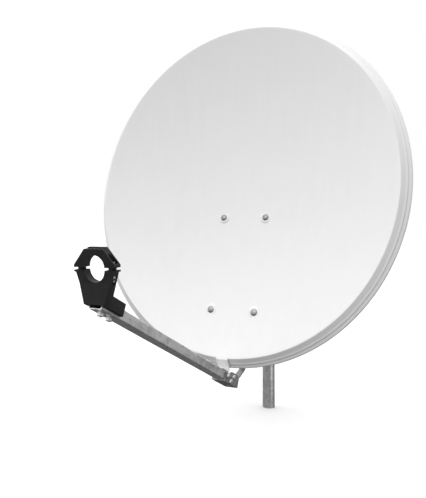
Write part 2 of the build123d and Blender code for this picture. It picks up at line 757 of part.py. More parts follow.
# ---------------------------------------------------------------- holder for the block
ear_half_width = 40.2
body_shoulder = 36.6        # half width just under the ears
body_foot = 16.0            # half width at the level of body_bottom
split_level = -0.6          # the holder's top face, from the bore's axis
ear_thickness = 2.6
ear_step = 0.8
body_bottom = -66.0         # below the skirt, where it is cut off
toe_top = -21.5             # under the bore the front face starts to lean out,
toe_reach = 8.1             # by this much at the level of body_bottom
foot_half_width = 18.0
foot_top = 18.5             # over the arm's centre line
foot_rear = 459.5           # along the arm
foot_edge = 1.6
skirt = -4.5                # lower edge of the holder, from the arm's centre line
arm_room = 0.3
front_wall_along = 515.0    # the arm's pocket ends here
spigot_radius = 6.5
spigot_height = 4.2
m5 = 2.5
m5_nut = (8.0, 4.0)
screw_play = 0.3            # radial, round the clamp screws
nut_slot_level = -9.5       # top of the side slots that hold the clamp nuts
nut_slot_height = 4.6
screw_end = -20.0           # tip of the clamp screws
screw_travel = 4.0          # room under the tips
bolt_seat_level = 12.0      # floor of the recesses over the arm
recess_radius = 6.3
holder_dome = (5.8, 3.0)
holder_bolt_length = 29.5
cutter = 200.0              # larger than the holder
arm_block = within(arm, Plane.XY.offset(foot_rear))
screw_spots = [(-screw_offset, -clamp_depth / 2), (screw_offset, -clamp_depth / 2)]


def screw_planes(level):
    """Planes square to the clamp screws, at a height over the bore's axis."""
    return [
        Plane(origin=clamp.from_local_coords((x, level, z)), x_dir=(1, 0, 0), z_dir=clamp.y_dir)
        for x, z in screw_spots
    ]


shoulder_level = split_level - ear_thickness - ear_step


def body_width(level):
    """Half width of the holder's tapered body at a height over the bore's axis."""
    share = (shoulder_level - level) / (shoulder_level - body_bottom)
    return body_shoulder + (body_foot - body_shoulder) * share


with BuildPart() as toe:
    with BuildSketch(clamp):
        Polygon((-body_width(toe_top), toe_top), (body_width(toe_top), toe_top),
                (body_foot, body_bottom), (-body_foot, body_bottom), align=None)
    extrude(amount=toe_reach)
    with BuildSketch(within(clamp, Plane.YZ)):
        Polygon((toe_top, 0), (body_bottom, 0), (body_bottom, toe_reach), align=None)
    extrude(amount=ear_half_width, both=True, mode=Mode.INTERSECT)

with BuildPart() as lnb_holder:
    with BuildSketch(arm_block):
        with Locations((0, (foot_top + skirt) / 2)):
            Rectangle(2 * foot_half_width, foot_top - skirt)
    extrude(amount=front_wall_along + arm_height - foot_rear)
    fillet(lnb_holder.edges().filter_by(Axis(arm.origin, arm.z_dir)), foot_edge)
    split(bisect_by=clamp, keep=Keep.BOTTOM)
    with BuildSketch(clamp):
        with BuildLine():
            half = Polyline(
                (0, split_level),
                (ear_half_width, split_level),
                (ear_half_width, split_level - ear_thickness),
                (body_shoulder, shoulder_level),
                (body_foot, body_bottom),
                (0, body_bottom),
            )
            mirror(half, about=Plane.YZ)
        make_face()
        Circle(neck_radius, mode=Mode.SUBTRACT)
    extrude(amount=-clamp_depth)
    add(toe.part)
    for seat in screw_planes(split_level):
        with BuildSketch(seat):
            Circle(spigot_radius)
        extrude(amount=spigot_height)
    with BuildSketch(within(arm, Plane.XZ.offset(-skirt))):
        with Locations((0, front_wall_along)):
            Rectangle(cutter, cutter)
    extrude(amount=cutter / 4, mode=Mode.SUBTRACT)
    with BuildSketch(arm_block):
        with Locations((0, -arm_height)):
            Rectangle(arm_width + 2 * arm_room, 3 * arm_height + 2 * arm_room)
    extrude(amount=front_wall_along - foot_rear, mode=Mode.SUBTRACT)
    for seat in screw_planes(screw_end - screw_travel):
        with BuildSketch(seat):
            Circle(m5 + screw_play)
        extrude(amount=clamp_depth + 2 * spigot_radius, mode=Mode.SUBTRACT)
    for seat, side in zip(screw_planes(nut_slot_level), (-1, 1)):
        with BuildSketch(seat):
            with Locations((side * 8, 0)):
                Rectangle(26, m5_nut[0] + 2 * thread_slack)
        extrude(amount=-nut_slot_height, mode=Mode.SUBTRACT)
    for along in holder_bolt_spots:
        with BuildSketch(Plane(origin=arm.from_local_coords((0, bolt_seat_level, along)),
                               x_dir=(1, 0, 0), z_dir=arm.y_dir)):
            Circle(recess_radius)
        extrude(amount=2 * recess_radius, mode=Mode.SUBTRACT)
    with BuildSketch(arm_top):
        with Locations(*[(0, along) for along in holder_bolt_spots]):
            Circle(m6 + 1.4)
    extrude(amount=-(bolt_seat_level + 1), mode=Mode.SUBTRACT)
lnb_holder.part.label = "lnb_holder"
export_step(lnb_holder.part, "parts/lnb_holder.step")

holder_bolt_solids = []
holder_washer_solids = []
holder_nut_solids = []
for along in holder_bolt_spots:
    head = Plane(origin=arm.from_local_coords((0, bolt_seat_level, along)), x_dir=(1, 0, 0),
                 z_dir=-arm.y_dir)
    under = head.offset(bolt_seat_level + arm_height / 2)
    holder_bolt_solids.append(carriage_bolt(head, m6, holder_bolt_length, *holder_dome))
    holder_washer_solids.append(ring(under, m6_washer[0], m6 + thread_slack, m6_washer[1]))
    holder_nut_solids.append(
        hex_prism(under.offset(m6_washer[1]), *m6_nut, m6 + thread_slack)
    )
with BuildPart() as holder_bolts:
    add(holder_bolt_solids)
holder_bolts.part.label = "holder_bolts"
export_step(holder_bolts.part, "parts/holder_bolts.step")
with BuildPart() as holder_washers:
    add(holder_washer_solids)
holder_washers.part.label = "holder_washers"
export_step(holder_washers.part, "parts/holder_washers.step")
with BuildPart() as holder_nuts:
    add(holder_nut_solids)
holder_nuts.part.label = "holder_nuts"
export_step(holder_nuts.part, "parts/holder_nuts.step")


# ---------------------------------------------------------------- clamp cap and its screws
cap_under = clamp_lift + 0.4
cap_tip = 7.9               # levels over the bore's axis
cap_top = 33.6
cap_top_half_width = 18.5
ridge_top = 35.6
ridge_depth = 7.0
head_seat = 9.7
head_radius = 4.4
head_height = 2.8
head_room = 0.8
socket_radius = 2.0
socket_depth = 2.0

with BuildPart() as lnb_cap:
    with BuildSketch(clamp):
        with BuildLine():
            half = Polyline(
                (0, cap_under),
                (ear_half_width, cap_under),
                (ear_half_width, cap_tip),
                (cap_top_half_width, cap_top),
                (0, cap_top),
            )
            mirror(half, about=Plane.YZ)
        make_face()
        with Locations((0, clamp_lift)):
            Circle(neck_radius, mode=Mode.SUBTRACT)
    extrude(amount=-clamp_depth)
    with BuildSketch(clamp.offset(-clamp_depth)):
        with Locations((0, (ridge_top + cap_top) / 2)):
            Trapezoid(2 * cap_top_half_width, ridge_top - cap_top, 50)
    extrude(amount=ridge_depth)
    for seat in screw_planes(cap_under):
        with BuildSketch(seat):
            Circle(spigot_radius + 0.3)
        extrude(amount=spigot_height - 0.6, mode=Mode.SUBTRACT)
        with BuildSketch(seat):
            Circle(m5 + screw_play)
        extrude(amount=cap_top, mode=Mode.SUBTRACT)
    for seat, side in zip(screw_planes(head_seat), (-1, 1)):
        with BuildSketch(seat):
            Circle(head_radius + head_room)
            with Locations((side * head_radius * 2, 0)):
                Rectangle(head_radius * 4, 2 * (head_radius + head_room))
        extrude(amount=cap_top, mode=Mode.SUBTRACT)
lnb_cap.part.label = "lnb_cap"
export_step(lnb_cap.part, "parts/lnb_cap.step")

with BuildPart() as cap_screws:
    for seat in screw_planes(head_seat):
        with BuildSketch(seat):
            Circle(head_radius)
        extrude(amount=head_height)
        with BuildSketch(seat.offset(head_height)):
            RegularPolygon(socket_radius, 6)
        extrude(amount=-socket_depth, mode=Mode.SUBTRACT)
        with BuildSketch(seat):
            Circle(m5)
        extrude(amount=screw_end - head_seat)
cap_screws.part.label = "cap_screws"
export_step(cap_screws.part, "parts/cap_screws.step")

with BuildPart() as cap_nuts:
    for seat in screw_planes(nut_slot_level - nut_slot_height + 0.3):
        with BuildSketch(seat):
            RegularPolygon(m5_nut[0] / 2, 6, major_radius=False)
            Circle(m5 + thread_slack, mode=Mode.SUBTRACT)
        extrude(amount=m5_nut[1])
cap_nuts.part.label = "cap_nuts"
export_step(cap_nuts.part, "parts/cap_nuts.step")
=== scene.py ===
import json
import math

import bmesh
import bpy
import numpy as np
from mathutils import Matrix, Vector


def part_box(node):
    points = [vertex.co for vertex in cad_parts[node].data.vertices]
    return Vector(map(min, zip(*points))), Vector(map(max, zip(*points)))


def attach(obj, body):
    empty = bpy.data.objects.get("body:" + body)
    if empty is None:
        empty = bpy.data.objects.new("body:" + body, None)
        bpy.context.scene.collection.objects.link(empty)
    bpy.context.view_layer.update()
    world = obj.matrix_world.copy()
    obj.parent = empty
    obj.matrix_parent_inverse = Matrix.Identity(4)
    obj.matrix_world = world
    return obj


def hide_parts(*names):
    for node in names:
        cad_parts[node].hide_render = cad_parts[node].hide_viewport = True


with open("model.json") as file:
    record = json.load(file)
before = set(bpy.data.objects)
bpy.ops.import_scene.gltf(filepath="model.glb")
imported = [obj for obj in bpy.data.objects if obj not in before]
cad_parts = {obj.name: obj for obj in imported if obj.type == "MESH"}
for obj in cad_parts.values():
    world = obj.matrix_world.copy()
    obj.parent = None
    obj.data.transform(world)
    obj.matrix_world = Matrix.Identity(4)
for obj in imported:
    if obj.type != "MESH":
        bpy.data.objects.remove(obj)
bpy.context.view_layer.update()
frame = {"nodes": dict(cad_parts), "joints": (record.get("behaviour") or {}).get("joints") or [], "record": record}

# ---------------------------------------------------------------- sizes, in metres
MM = 0.001
RIM_FLARE = 20.5 * MM
RIM_DEPTH = 26 * MM
SHEET = 1.2 * MM
# The rim's middle line in section: out from the face's edge, and back from the rim plane.
# It and the radii of its bends are in millimetres.
RIM_LINE = ((0.0, 0.7), (8.0, 11.0), (12.3, 12.3), (13.0, 17.0), (19.4, 20.0), (19.88, 25.9))
RIM_BEND = 1.6
FOLD_BEND = 1.3
PAD_RADIUS = 9.5 * MM
PAD_PROUD = 1.3 * MM
FACE_TILT = math.radians(10.4)
ELLIPSE_RATIO = 750 / 800           # width over height of the reflecting face
FOCAL_SHARE = 485 / 375             # focal length over the half width
ARM_PITCH = math.radians(24.76)     # the arm climbs toward the front

JOINTS = {joint["name"]: joint for joint in frame["joints"]}
PIVOT = Vector(JOINTS["elevation"]["pos_m"])

reflector_low, reflector_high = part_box("reflector")
HALF_WIDTH = (reflector_high.x - reflector_low.x) / 2 - RIM_FLARE
HALF_HEIGHT = HALF_WIDTH / ELLIPSE_RATIO
FOCAL = HALF_WIDTH * FOCAL_SHARE


# ---------------------------------------------------------------- node helpers
def new_material(name):
    """A new node material, its node tree and its shader."""
    material = bpy.data.materials.new(name)
    material.use_nodes = True
    shader = material.node_tree.nodes["Principled BSDF"]
    return material, material.node_tree, shader


def add_node(tree, kind, **values):
    """A node with its properties or inputs set by name."""
    node = tree.nodes.new(kind)
    for key, value in values.items():
        name = key.replace("_", " ")
        if name in node.inputs:
            node.inputs[name].default_value = value
        else:
            setattr(node, key, value)
    return node


def object_coordinates(tree, scale=(1, 1, 1), turn=(0, 0, 0)):
    """Object coordinates, turned by one node and then stretched by a second."""
    source = tree.nodes.new("ShaderNodeTexCoord")
    turned = add_node(tree, "ShaderNodeMapping", Rotation=turn)
    stretched = add_node(tree, "ShaderNodeMapping", Scale=scale)
    tree.links.new(source.outputs["Object"], turned.inputs["Vector"])
    tree.links.new(turned.outputs["Vector"], stretched.inputs["Vector"])
    return stretched.outputs["Vector"]


def noise(tree, vector, scale, detail, roughness):
    """A grey noise, scale in features per metre."""
    node = add_node(tree, "ShaderNodeTexNoise", Scale=scale, Detail=detail, Roughness=roughness)
    tree.links.new(vector, node.inputs["Vector"])
    return node.outputs["Fac"]


def ramp(tree, source, low, high, from_value, to_value):
    """Maps a grey value from low..high onto from_value..to_value."""
    node = tree.nodes.new("ShaderNodeMapRange")
    node.inputs["From Min"].default_value = low
    node.inputs["From Max"].default_value = high
    node.inputs["To Min"].default_value = from_value
    node.inputs["To Max"].default_value = to_value
    tree.links.new(source, node.inputs["Value"])
    return node.outputs["Result"]


def smooth_range(tree, source, low, high, from_value, to_value):
    """As ramp, but eased at both ends and held beyond them."""
    result = ramp(tree, source, low, high, from_value, to_value)
    result.node.interpolation_type = "SMOOTHSTEP"
    return result


def blend_colours(tree, factor, first, second):
    """Mixes two colours, each a fixed one or another node's, by a grey value."""
    node = tree.nodes.new("ShaderNodeMix")
    node.data_type = "RGBA"
    tree.links.new(factor, node.inputs["Factor"])
    sockets = [s for s in node.inputs if s.type == "RGBA"]
    for socket, value in zip(sockets, (first, second)):
        if hasattr(value, "is_output"):
            tree.links.new(value, socket)
        else:
            socket.default_value = (*value, 1)
    return [s for s in node.outputs if s.type == "RGBA"][0]


def combine(tree, operation, first, second):
    """The result of a maths node on two values, each fixed or another node's."""
    node = tree.nodes.new("ShaderNodeMath")
    node.operation = operation
    for socket, value in zip(node.inputs, (first, second)):
        if hasattr(value, "is_output"):
            tree.links.new(value, socket)
        else:
            socket.default_value = value
    return node.outputs["Value"]


def add_bump(tree, shader, height, distance, strength):
    """Fine relief in the shading, distance in metres."""
    node = add_node(tree, "ShaderNodeBump", Strength=strength, Distance=distance)
    tree.links.new(height, node.inputs["Height"])
    tree.links.new(node.outputs["Normal"], shader.inputs["Normal"])


# ---------------------------------------------------------------- materials
RAIN_STRETCH = 0.12     # scale of rain marks along their length
MARK_STRETCH = 0.02     # scale of drawing marks along theirs


def powder_coat():
    """Pale grey powder coat: fine orange peel, faint dust and rain marks."""
    material, tree, shader = new_material("powder_coat")
    place = object_coordinates(tree)
    streak_place = object_coordinates(tree, scale=(1, 1, RAIN_STRETCH))
    cloud = noise(tree, place, scale=4.0, detail=4.0, roughness=0.6)
    streak = noise(tree, streak_place, scale=55.0, detail=3.0, roughness=0.6)
    speck = noise(tree, place, scale=420.0, detail=2.0, roughness=0.5)
    dust = combine(tree, "MULTIPLY", cloud, streak)
    shade = ramp(tree, dust, 0.16, 0.42, 0.0, 1.0)
    colour = blend_colours(tree, shade, (0.832, 0.832, 0.832), (0.812, 0.812, 0.810))
    tree.links.new(colour, shader.inputs["Base Color"])
    tree.links.new(ramp(tree, dust, 0.15, 0.4, 0.40, 0.50), shader.inputs["Roughness"])
    peel = noise(tree, place, scale=520.0, detail=2.0, roughness=0.4)
    height = combine(tree, "ADD", peel, combine(tree, "MULTIPLY", speck, 0.35))
    add_bump(tree, shader, height, distance=0.00012, strength=0.35)
    shader.inputs["Specular IOR Level"].default_value = 0.45
    return material


def galvanised(name, bright, dark, along, roughness=0.42, spangle=160.0, streaks=0.5):
    """Zinc with spangle and drawing marks that run along one direction."""
    material, tree, shader = new_material(name)
    place = object_coordinates(tree)
    cells = add_node(tree, "ShaderNodeTexVoronoi", Scale=spangle, Randomness=1.0)
    tree.links.new(place, cells.inputs["Vector"])
    flake = add_node(tree, "ShaderNodeSeparateColor")
    tree.links.new(cells.outputs["Color"], flake.inputs["Color"])
    turn = Vector(along).to_track_quat("Z", "Y").inverted().to_euler()
    drawn = object_coordinates(tree, scale=(1, 1, MARK_STRETCH), turn=tuple(turn))
    marks = noise(tree, drawn, scale=900.0, detail=4.0, roughness=0.65)
    stain = noise(tree, place, scale=22.0, detail=5.0, roughness=0.65)
    mixed = combine(tree, "MULTIPLY", flake.outputs["Red"], 0.30)
    mixed = combine(tree, "ADD", mixed, combine(tree, "MULTIPLY", marks, streaks))
    mixed = combine(tree, "ADD", mixed, combine(tree, "MULTIPLY", stain, 0.45))
    shade = ramp(tree, mixed, 0.35, 0.95, 0.0, 1.0)
    colour = blend_colours(tree, shade, dark, bright)
    tree.links.new(colour, shader.inputs["Base Color"])
    rough = ramp(tree, mixed, 0.3, 1.0, roughness + 0.12, roughness - 0.10)
    tree.links.new(rough, shader.inputs["Roughness"])
    shader.inputs["Metallic"].default_value = 0.92
    height = combine(tree, "ADD", marks, combine(tree, "MULTIPLY", stain, 0.6))
    add_bump(tree, shader, height, distance=0.00010, strength=0.45)
    return material


def plated(name, dark, bright):
    """Plated hardware: smoother than the sheet, with faint handling marks."""
    material, tree, shader = new_material(name)
    place = object_coordinates(tree)
    marks = noise(tree, place, scale=700.0, detail=4.0, roughness=0.6)
    patch = noise(tree, place, scale=90.0, detail=3.0, roughness=0.5)
    colour = blend_colours(tree, ramp(tree, patch, 0.35, 0.65, 0.0, 1.0),
                           dark, bright)
    tree.links.new(colour, shader.inputs["Base Color"])
    tree.links.new(ramp(tree, marks, 0.3, 0.7, 0.24, 0.40), shader.inputs["Roughness"])
    shader.inputs["Metallic"].default_value = 1.0
    add_bump(tree, shader, marks, distance=0.00005, strength=0.5)
    return material


def black_plastic():
    """Weatherproof moulded plastic: fine spark texture, dulled a little by dust."""
    material, tree, shader = new_material("black_plastic")
    place = object_coordinates(tree)
    grain = noise(tree, place, scale=1500.0, detail=2.0, roughness=0.6)
    dust = noise(tree, place, scale=60.0, detail=5.0, roughness=0.65)
    colour = blend_colours(tree, ramp(tree, dust, 0.42, 0.72, 0.0, 1.0),
                           (0.004, 0.004, 0.004), (0.011, 0.011, 0.011))
    tree.links.new(colour, shader.inputs["Base Color"])
    tree.links.new(ramp(tree, dust, 0.35, 0.7, 0.44, 0.60), shader.inputs["Roughness"])
    add_bump(tree, shader, grain, distance=0.00010, strength=0.5)
    shader.inputs["Specular IOR Level"].default_value = 0.28
    return material


def cast_alloy():
    """Rough cast zinc alloy with a faint mottle."""
    material, tree, shader = new_material("cast_alloy")
    place = object_coordinates(tree)
    grain = noise(tree, place, scale=900.0, detail=4.0, roughness=0.7)
    patch = noise(tree, place, scale=60.0, detail=3.0, roughness=0.5)
    colour = blend_colours(tree, patch, (0.42, 0.425, 0.43), (0.60, 0.605, 0.61))
    tree.links.new(colour, shader.inputs["Base Color"])
    tree.links.new(ramp(tree, grain, 0.3, 0.7, 0.45, 0.62), shader.inputs["Roughness"])
    shader.inputs["Metallic"].default_value = 0.85
    add_bump(tree, shader, grain, distance=0.00025, strength=0.6)
    return material


def studio_floor():
    """Matt white paper."""
    material, tree, shader = new_material("studio_floor")
    place = object_coordinates(tree)
    paper = noise(tree, place, scale=6.0, detail=3.0, roughness=0.5)
    colour = blend_colours(tree, paper, (0.92, 0.92, 0.92), (0.94, 0.94, 0.94))
    tree.links.new(colour, shader.inputs["Base Color"])
    shader.inputs["Roughness"].default_value = 0.9
    return material


ARM_DIRECTION = (0, -math.cos(ARM_PITCH), math.sin(ARM_PITCH))
PAINT = powder_coat()
ARM_ZINC = galvanised("arm_zinc", (0.68, 0.68, 0.68), (0.30, 0.30, 0.30), ARM_DIRECTION,
                      spangle=90.0, streaks=0.9)
MAST_ZINC = galvanised("mast_zinc", (0.56, 0.56, 0.56), (0.32, 0.32, 0.32), (0, 0, 1), 0.42)
SHEET_ZINC = galvanised("sheet_zinc", (0.40, 0.40, 0.40), (0.22, 0.22, 0.22), (0, 1, 0), 0.38,
                        spangle=120.0, streaks=0.25)
BOLT_ZINC = plated("bright_zinc", (0.62, 0.62, 0.62), (0.80, 0.80, 0.80))
DOME_ZINC = plated("dull_zinc", (0.28, 0.28, 0.28), (0.40, 0.40, 0.40))
PLASTIC = black_plastic()
ALLOY = cast_alloy()
SLOT_MATERIALS = {
    "reflector_paint": PAINT,
    "bracket_zinc": SHEET_ZINC,
    "arm_zinc": ARM_ZINC,
    "mast_galvanised": MAST_ZINC,
    "cast_saddle": ALLOY,
    "bolt_zinc": BOLT_ZINC,
    "black_plastic": PLASTIC,
}
SLOT_OF = {part["node"]: part["material_slot"] for part in frame["record"]["subparts"]}
BODY_OF = {
    node: body
    for body, nodes in frame["record"]["behaviour"]["bodies"].items()
    for node in nodes
}


def finish_piece(piece, node):
    """The piece stands for a CAD node: same body, same slot, and the slot's material."""
    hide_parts(node)
    piece.data.materials.clear()
    piece.data.materials.append(SLOT_MATERIALS[SLOT_OF[node]])
    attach(piece, BODY_OF[node])


# ---------------------------------------------------------------- softened copies of CAD nodes
SMOOTH_ANGLE = 34       # degrees: edges sharper than this stay sharp in the shading
SHEET_ANGLE = 60        # the same for the pressed sheet, whose bends are drawn out
BEVEL_ANGLE = 32        # degrees: edges sharper than this are rounded
WELD_DISTANCE = 0.002 * MM
FLAT_ANGLE = 0.6        # degrees: faces nearer to flat than this are joined


def copied(node):
    """A clean editable copy of a CAD node's mesh."""
    mesh = bmesh.new()
    mesh.from_mesh(frame["nodes"][node].data)
    bmesh.ops.remove_doubles(mesh, verts=mesh.verts, dist=WELD_DISTANCE)
    bmesh.ops.dissolve_limit(mesh, angle_limit=math.radians(FLAT_ANGLE), verts=mesh.verts,
                             edges=mesh.edges)
    return mesh


def placed(mesh, name):
    """A new object in the scene that holds the bmesh."""
    data = bpy.data.meshes.new(name)
    mesh.to_mesh(data)
    mesh.free()
    piece = bpy.data.objects.new(name, data)
    bpy.context.scene.collection.objects.link(piece)
    return piece


def apply_modifiers(piece):
    """Makes the modifiers part of the piece's mesh."""
    graph = bpy.context.evaluated_depsgraph_get()
    final = bpy.data.meshes.new_from_object(piece.evaluated_get(graph))
    piece.modifiers.clear()
    piece.data = final


def settle(piece, angle=SMOOTH_ANGLE):
    """Applies the modifiers and shades the piece smooth, apart from its sharp edges."""
    apply_modifiers(piece)
    piece.data.shade_smooth()
    piece.data.set_sharp_from_angle(angle=math.radians(angle))


def round_edges(piece, edge):
    """Small round edges that catch the light, between faces that still shade flat."""
    piece.data.shade_smooth()
    bevel = piece.modifiers.new("round", "BEVEL")
    bevel.width = edge
    bevel.segments = 2
    bevel.limit_method = "ANGLE"
    bevel.angle_limit = math.radians(BEVEL_ANGLE)
    bevel.use_clamp_overlap = True
    flat = piece.modifiers.new("flat", "WEIGHTED_NORMAL")
    flat.mode = "FACE_AREA"
    flat.weight = 100
    flat.keep_sharp = False
    apply_modifiers(piece)


def softened(node, edge):
    """A copy of a CAD node with small round edges, which stands for it."""
    piece = placed(copied(node), node + "_detail")
    round_edges(piece, edge)
    finish_piece(piece, node)


# How far each node's edges are rounded, in millimetres.
SOFT_EDGES = {
    "rear_frame": 0.5, "arm_stay": 0.5, "arm_bracket": 0.45, "mast_bracket": 0.5,
    "mast_saddles": 0.6, "mast_tube": 0.35, "rim_lug": 0.4, "feed_arm": 0.25,
    "arm_end_plug": 0.4, "lnb_holder": 0.55, "lnb_cap": 0.55, "reflector_nuts": 0.2,
    "reflector_washers": 0.2, "u_bolt_nuts": 0.25, "u_bolt_washers": 0.25,
    "elevation_nuts": 0.25, "elevation_washers": 0.25, "stay_nuts": 0.2, "arm_nuts": 0.2,
    "holder_nuts": 0.2, "holder_washers": 0.2, "cap_nuts": 0.15,
}


# ---------------------------------------------------------------- threaded bolts
ON_SHANK = 1.02         # share of a bolt's radius within which a point is on its shank
BOLT_REACH = 60 * MM    # a nut holds the bolt if some of its shank is this near
THREAD_DEPTH = 0.55     # share of the pitch
CREST, FOOT = 0.07, 0.42    # half widths of a thread's crest and foot, shares of the pitch
FOOT_SINK = 0.05 * MM   # how far the thread's foot is sunk in the core
TURN_STEPS = 20
FADE_STEPS = 8          # steps over which a thread rises at each end


def islands(mesh):
    """The vertices of each separate solid in a bmesh, in an order that varies by run."""
    left = set(mesh.verts)
    while left:
        group = set()
        edge = {left.pop()}
        while edge:
            group |= edge
            edge = {e.other_vert(v) for v in edge for e in v.link_edges} - group
        left -= group
        yield group


def short_axis(points):
    """Centre of some points and the direction across which they spread least."""
    centre = sum(points, Vector()) / len(points)
    spread = np.array([point - centre for point in points])
    return centre, Vector(np.linalg.eigh(spread.T @ spread)[1][:, 0])


def nut_axes(node):
    """Centre, axis and half height of each nut in a CAD node."""
    mesh = copied(node)
    found = []
    for group in islands(mesh):
        centre, axis = short_axis([vert.co.copy() for vert in group])
        heights = [(vert.co - centre).dot(axis) for vert in group]
        middle = centre + axis * (max(heights) + min(heights)) / 2
        found.append((middle, axis, (max(heights) - min(heights)) / 2))
    mesh.free()
    return found


def cut_thread(mesh, centre, axis, half_nut, radius, pitch):
    """Thins a bolt's tail from inside its nut to the tip, and winds a thread round it."""
    near = []
    for vert in mesh.verts:
        along = (vert.co - centre).dot(axis)
        if (vert.co - centre - axis * along).length < radius * ON_SHANK:
            near.append(along)
    if abs(min(near)) < abs(max(near)):
        axis = -axis
        near = [-along for along in near]
    tip = max(near)
    start = -half_nut * 0.5
    depth = pitch * THREAD_DEPTH
    root = radius - depth
    levels = (start, start + 0.1 * MM, tip - pitch)
    for level in levels:
        bmesh.ops.bisect_plane(mesh, geom=mesh.verts[:] + mesh.edges[:] + mesh.faces[:],
                               plane_co=centre + axis * level, plane_no=axis, dist=1e-7)
    for vert in mesh.verts:       # the tail shrinks to the thread's core
        along = (vert.co - centre).dot(axis)
        out = vert.co - centre - axis * along
        if along > start + 0.05 * MM and out.length < radius * ON_SHANK:
            narrow = root / radius if along < tip - pitch / 2 else (root - depth / 2) / radius
            vert.co = centre + axis * along + out * narrow
    side = axis.orthogonal().normalized()
    up = axis.cross(side)
    count = int((tip - pitch - start) / pitch * TURN_STEPS)
    rows = []
    for step in range(count + 1):
        angle = math.tau * step / TURN_STEPS
        out = side * math.cos(angle) + up * math.sin(angle)
        level = start + pitch * step / TURN_STEPS
        fade = min(1.0, step / FADE_STEPS, (count - step) / FADE_STEPS)
        crest = root + depth * fade
        foot = root - FOOT_SINK
        rows.append([
            mesh.verts.new(centre + axis * (level - pitch * FOOT) + out * foot),
            mesh.verts.new(centre + axis * (level - pitch * CREST) + out * crest),
            mesh.verts.new(centre + axis * (level + pitch * CREST) + out * crest),
            mesh.verts.new(centre + axis * (level + pitch * FOOT) + out * foot),
        ])
    for row, after in zip(rows, rows[1:]):
        for i in range(4):
            j = (i + 1) % 4
            mesh.faces.new((row[i], row[j], after[j], after[i]))
    mesh.faces.new(rows[0][::-1])
    mesh.faces.new(rows[-1])


def threaded(node, nuts, radius, pitch, material=None):
    """A bolt node, shaded smooth, with threads where its nuts are."""
    mesh = copied(node)
    points = [vert.co.copy() for vert in mesh.verts]
    for centre, axis, half_nut in nuts:
        held = any(
            (point - centre - axis * (point - centre).dot(axis)).length < radius * ON_SHANK
            and abs((point - centre).dot(axis)) < BOLT_REACH
            for point in points
        )
        if held:
            cut_thread(mesh, centre, axis, half_nut, radius, pitch)
    bmesh.ops.recalc_face_normals(mesh, faces=mesh.faces)
    piece = placed(mesh, node + "_detail")
    settle(piece)
    finish_piece(piece, node)
    if material:
        piece.data.materials[0] = material


# radius and pitch
M5, M6, M8 = (2.5 * MM, 0.8 * MM), (3 * MM, 1.0 * MM), (4 * MM, 1.25 * MM)
PIVOT_REACH = 5 * MM    # a nut nearer to the pivot than this belongs to its bolt


def all_bolts():
    """Cuts the threads of each bolt node where its nuts are."""
    elevation = nut_axes("elevation_nuts")
    on_pivot = [nut for nut in elevation if (nut[0] - PIVOT).yz.length < PIVOT_REACH]
    on_locks = [nut for nut in elevation if (nut[0] - PIVOT).yz.length >= PIVOT_REACH]
    threaded("reflector_bolts", nut_axes("reflector_nuts"), *M6, material=DOME_ZINC)
    threaded("u_bolts", nut_axes("u_bolt_nuts"), *M8)
    threaded("pivot_bolt", on_pivot, *M8)
    threaded("lock_bolts", on_locks, *M8)
    threaded("stay_bolts", nut_axes("stay_nuts"), *M6)
    threaded("arm_bolts", nut_axes("arm_nuts"), *M6)
    threaded("holder_bolts", nut_axes("holder_nuts"), *M6)
    threaded("cap_screws", nut_axes("cap_nuts"), *M5)


# ---------------------------------------------------------------- reflector
AROUND = 288            # steps round the reflector
RINGS = 44              # rings from its middle to its edge
RING_SPREAD = 0.9       # under 1: the rings get closer toward the edge
INSET = 4.0             # millimetres from the face's edge at which the last ring lies
SKIN_SHARE = 0.97       # thickness of the visible sheet, a share of the real one
PAD_STEPS = 48
PAD_BLEND = 6.0 * MM    # width over which a pad runs out into the face
PAD_SINK = 0.03 * MM    # how far its outer edge is sunk in the face
DEPTH_ROUNDS = 12       # rounds of Newton's method for the depth of the face
SEAT_ROUNDS = 4         # rounds for where a bolt's axis meets the face


class DishFace:
    """The offset paraboloid, seen from its rim plane: x across, y to the rear, z up."""

    def __init__(self):
        self.angle = math.acos(HALF_WIDTH / HALF_HEIGHT)
        self.reach = 2 * FOCAL * math.tan(self.angle) - HALF_WIDTH
        self.rise = self.reach**2 / (4 * FOCAL)
        self.rear = Vector((0, math.cos(FACE_TILT), -math.sin(FACE_TILT)))
        self.up = Vector((0, math.sin(FACE_TILT), math.cos(FACE_TILT)))
        box_middle = (reflector_high.z + reflector_low.z) / 2
        centre_z = box_middle + RIM_DEPTH * math.sin(FACE_TILT)
        back = RIM_DEPTH * math.cos(FACE_TILT)
        tall = (HALF_HEIGHT + RIM_FLARE) * math.sin(FACE_TILT)
        self.centre = Vector((0, reflector_high.y - back - tall, centre_z))

    def depth(self, x, z):
        """How far the face lies behind the rim plane."""
        ahead, side = math.cos(self.angle), math.sin(self.angle)
        depth = 0.0
        for _ in range(DEPTH_ROUNDS):
            along = self.rise - depth * ahead + (z + HALF_HEIGHT) * side
            radial = self.reach + depth * side + (z + HALF_HEIGHT) * ahead
            error = along - (x * x + radial * radial) / (4 * FOCAL)
            depth += error / (ahead + radial * side / (2 * FOCAL))
        return depth

    def point(self, x, y, z):
        """A place in the rim plane's frame as one in the scene's."""
        return self.centre + Vector((x, 0, 0)) + self.rear * y + self.up * z


def rounded(points, bends, steps=5):
    """A polyline in the plane with an arc of the given radius at each inner corner."""
    path = [Vector(points[0])]
    for before, corner, after, bend in zip(points, points[1:], points[2:], bends):
        before, corner, after = Vector(before), Vector(corner), Vector(after)
        come, leave = (before - corner).normalized(), (after - corner).normalized()
        half = come.angle(leave) / 2
        middle = corner + (come + leave).normalized() * bend / math.sin(half)
        first = corner + come * bend / math.tan(half) - middle
        last = corner + leave * bend / math.tan(half) - middle
        for step in range(steps + 1):
            path.append(middle + first.slerp(last, step / steps))
    path.append(Vector(points[-1]))
    return path


